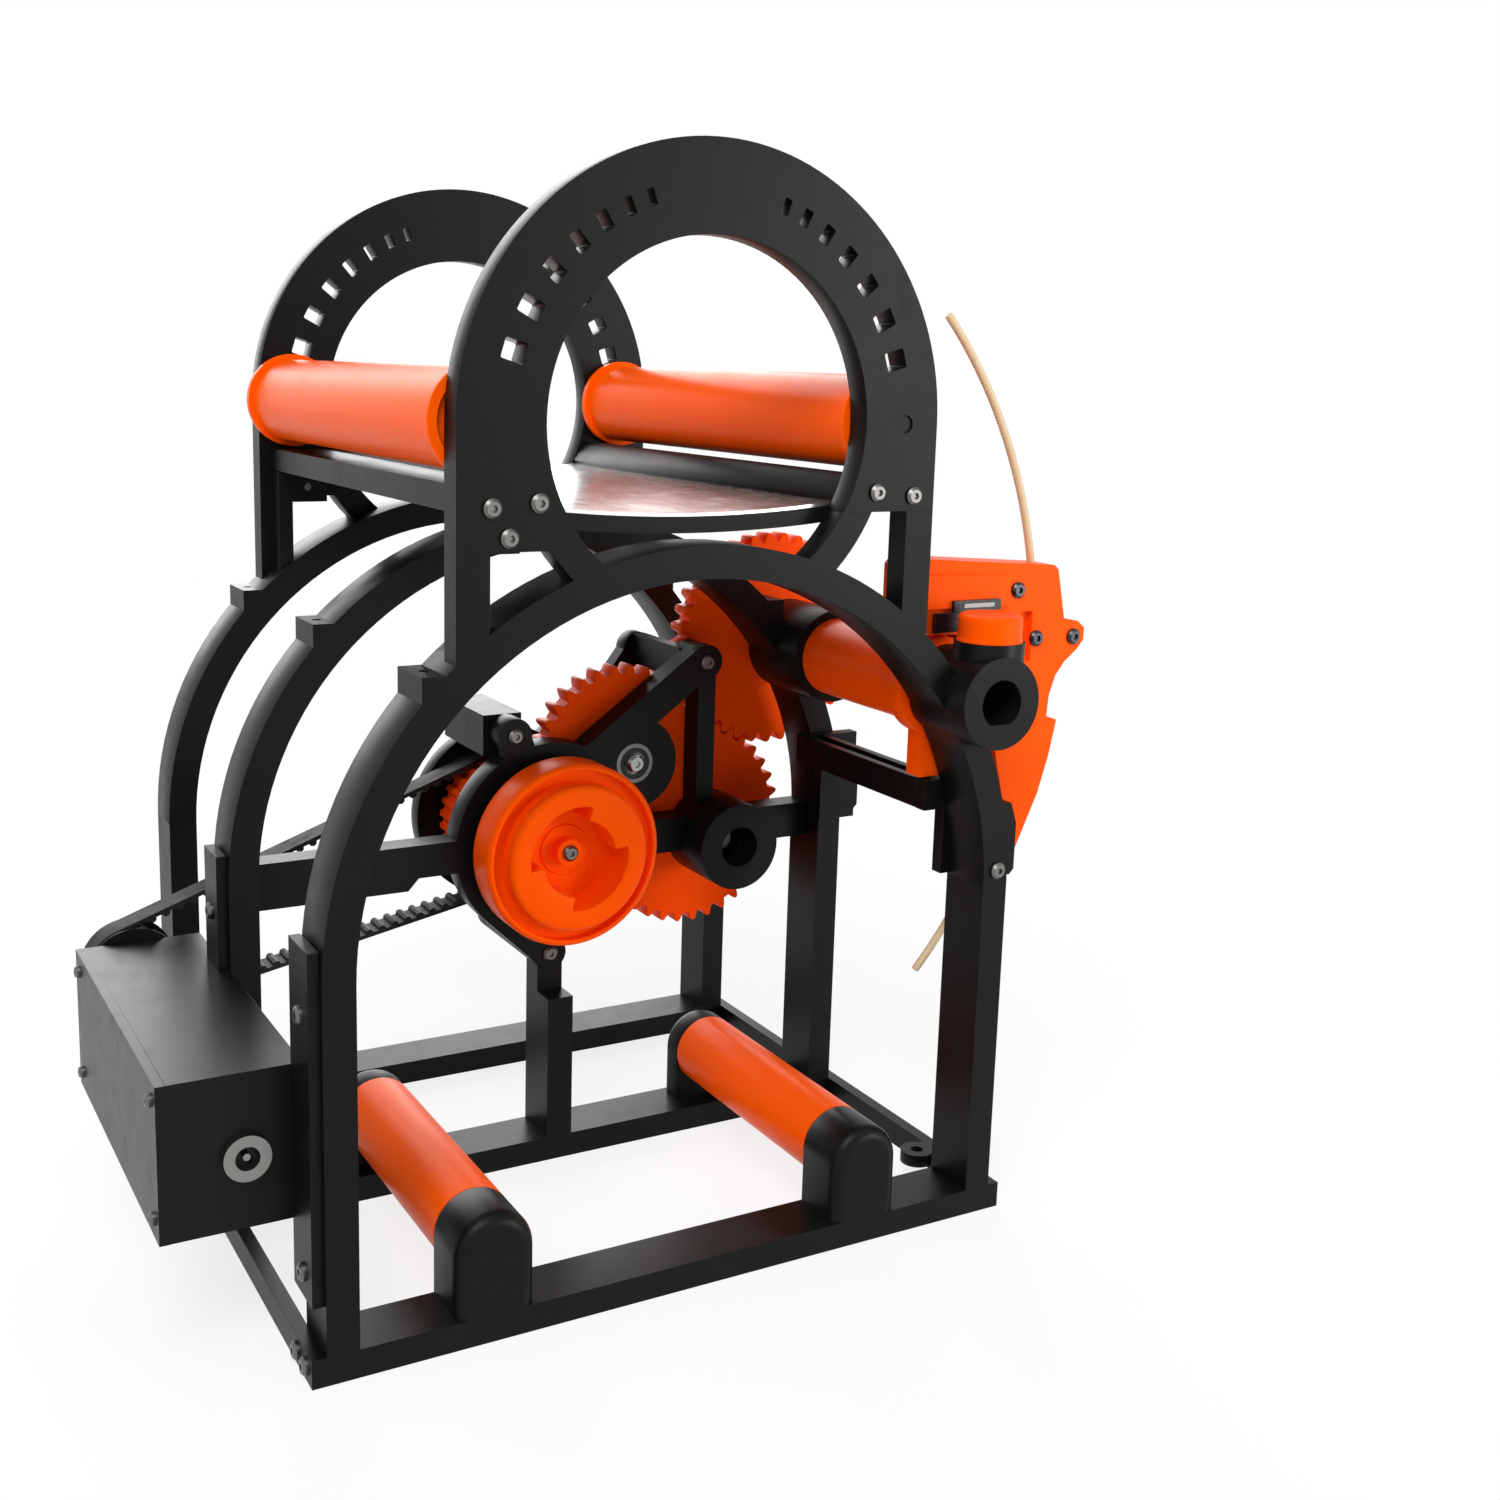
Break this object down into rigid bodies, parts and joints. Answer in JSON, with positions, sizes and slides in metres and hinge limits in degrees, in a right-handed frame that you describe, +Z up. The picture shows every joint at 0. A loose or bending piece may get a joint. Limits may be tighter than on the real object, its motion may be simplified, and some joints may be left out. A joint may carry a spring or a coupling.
{
  "type": "filament spool winder",
  "caption": "Motor-driven winder on arches: roller cradle with tray for the full spool, driven hub below, and a side gear train moving a filament guide along a tube and rail.",
  "frame": {"origin": "centre of the base on the ground plane, on the underside of the middle arch's beam", "axes": "X to the right seen from the front, Y from the front arch to the rear arch, Z up"},
  "size_m": [0.3321, 0.221, 0.3575],
  "materials": {
    "frame_black": "satin near-black moulded surface",
    "box_black": "fine satin near-black shell",
    "carrier_black": "satin near-black plate",
    "orange_shell": "smooth orange",
    "orange_gear": "smooth orange",
    "orange_roller": "smooth orange",
    "screw_steel": "bright turned",
    "bearing_steel": "ground",
    "shaft_steel": "ground",
    "motor_metal": "drawn",
    "inlet_metal": "plated",
    "tray_metal": "brushed along its length",
    "belt_rubber": "matt",
    "strand_plastic": "pale and slightly see-through",
    "pulley_black": "satin near-black moulded",
    "screw_dark": "black-oxide",
    "latch_black": "satin"
  },
  "bodies": {
    "frame": {"front_arch": "frame_black", "middle_arch": "frame_black", "rear_arch": "frame_black", "left_side_rail": "frame_black", "right_side_rail": "frame_black", "base_screws": "screw_steel", "front_ring": "frame_black", "rear_ring": "frame_black", "ring_screws": "screw_steel", "left_tray_rail": "frame_black", "right_tray_rail": "frame_black", "tray_sheet": "tray_metal", "front_tray_saddle": "frame_black", "rear_tray_saddle": "frame_black", "top_roller_axles": "shaft_steel", "bottom_roller_axles": "shaft_steel", "carrier_plate": "carrier_black", "rear_gear_plate": "carrier_black", "spacer_bars": "carrier_black", "gearbox_screws": "screw_steel", "hub_bearings": "bearing_steel", "idler_bearings": "bearing_steel", "traverse_bushes": "bearing_steel", "boss_cap": "orange_shell", "guide_tube": "orange_shell", "guide_rail": "frame_black", "front_rail_clip": "frame_black", "rear_rail_clip": "frame_black", "rail_clip_screws": "screw_steel", "motor_box": "box_black", "box_lid": "box_black", "lid_screws": "screw_steel", "motor": "motor_metal", "power_inlet": "inlet_metal", "box_straps": "frame_black", "strap_screws": "screw_steel", "drive_belt": "belt_rubber"},
    "hub": {"hub_socket": "orange_shell", "hub_shaft": "shaft_steel", "hub_pulley": "orange_gear", "hub_screw": "screw_steel"},
    "idler": {"idler_gear": "orange_gear", "idler_axle": "shaft_steel"},
    "transfer": {"transfer_gear": "orange_gear", "transfer_axle": "shaft_steel"},
    "traverse": {"traverse_gear": "orange_gear", "traverse_screw": "shaft_steel"},
    "motor_rotor": {"motor_shaft": "shaft_steel", "motor_pulley": "pulley_black"},
    "carriage": {"filament_guide": "orange_shell", "guide_cover": "orange_shell", "guide_latch": "latch_black", "guide_screws": "screw_dark", "cam_follower": "shaft_steel", "filament_strand": "strand_plastic"},
    "top_roller_left": {"top_roller_left": "orange_roller"},
    "top_roller_right": {"top_roller_right": "orange_roller"},
    "bottom_roller_left": {"bottom_roller_left": "orange_roller"},
    "bottom_roller_right": {"bottom_roller_right": "orange_roller"}
  },
  "joints": [
    {"name": "hub_spin", "type": "hinge", "parent": "frame", "child": "hub", "pos_m": [0, -0.00475, 0.12], "axis": [0, 1, 0], "continuous": true},
    {"name": "idler_spin", "type": "hinge", "parent": "frame", "child": "idler", "pos_m": [0.03398, -0.00475, 0.14619], "axis": [0, 1, 0], "continuous": true},
    {"name": "transfer_spin", "type": "hinge", "parent": "frame", "child": "transfer", "pos_m": [0.07026, -0.00475, 0.11415], "axis": [0, 1, 0], "continuous": true},
    {"name": "traverse_spin", "type": "hinge", "parent": "frame", "child": "traverse", "pos_m": [0.1056, -0.00475, 0.18625], "axis": [0, 1, 0], "continuous": true},
    {"name": "motor_spin", "type": "hinge", "parent": "frame", "child": "motor_rotor", "pos_m": [-0.143, -0.00475, 0.08], "axis": [0, 1, 0], "continuous": true},
    {"name": "guide_slide", "type": "slide", "parent": "frame", "child": "carriage", "axis": [0, 1, 0], "range_m": [0, 0.05]},
    {"name": "top_left_spin", "type": "hinge", "parent": "frame", "child": "top_roller_left", "pos_m": [-0.0687, -0.00475, 0.2765], "axis": [0, 1, 0], "continuous": true},
    {"name": "top_right_spin", "type": "hinge", "parent": "frame", "child": "top_roller_right", "pos_m": [0.0687, -0.00475, 0.2765], "axis": [0, 1, 0], "continuous": true},
    {"name": "bottom_left_spin", "type": "hinge", "parent": "frame", "child": "bottom_roller_left", "pos_m": [-0.0675, -0.00475, 0.028], "axis": [0, 1, 0], "continuous": true},
    {"name": "bottom_right_spin", "type": "hinge", "parent": "frame", "child": "bottom_roller_right", "pos_m": [0.0675, -0.00475, 0.028], "axis": [0, 1, 0], "continuous": true}
  ],
  "couplings": [
    {"joint": "idler_spin", "follows": "hub_spin", "ratio": -0.25806},
    {"joint": "transfer_spin", "follows": "hub_spin", "ratio": 0.057348},
    {"joint": "traverse_spin", "follows": "hub_spin", "ratio": -0.055798},
    {"joint": "motor_spin", "follows": "hub_spin", "ratio": 1.7778}
  ]
}
